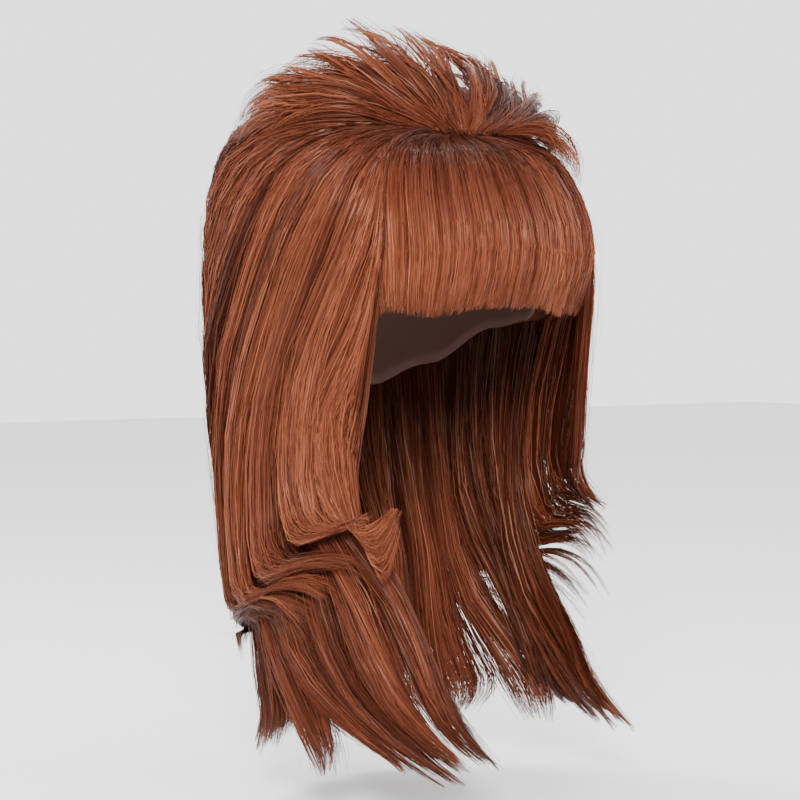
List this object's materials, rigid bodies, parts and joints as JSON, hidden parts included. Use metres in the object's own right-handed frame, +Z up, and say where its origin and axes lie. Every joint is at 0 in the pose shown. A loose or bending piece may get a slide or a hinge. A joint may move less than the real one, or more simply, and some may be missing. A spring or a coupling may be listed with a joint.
{
  "type": "beehive wig",
  "caption": "Long layered wig with a high back-combed crown, a full rounded fringe and flicked wavy ends, on a knitted stretch cap.",
  "frame": {"origin": "where the top of the wearer's head meets the inside of the cap", "axes": "+Z up the standing wearer, -Y the way the wearer faces, -X the wearer's right"},
  "size_m": [0.2966, 0.31, 0.5519],
  "materials": {
    "cap_knit": "dark brown knitted stretch cap, matt",
    "back_combed_hair": "back-combed synthetic hair, dull dark copper",
    "copper_hair": "smooth synthetic hair, copper red, silky sheen"
  },
  "bodies": {
    "root": {"cap": "cap_knit", "back_combed_base": "back_combed_hair", "side_right": "copper_hair", "crown_and_back": "copper_hair", "side_left": "copper_hair", "fringe": "copper_hair", "crown_tufts": "copper_hair", "fall_right": "copper_hair", "fall_back": "copper_hair", "fall_left": "copper_hair"}
  },
  "joints": []
}
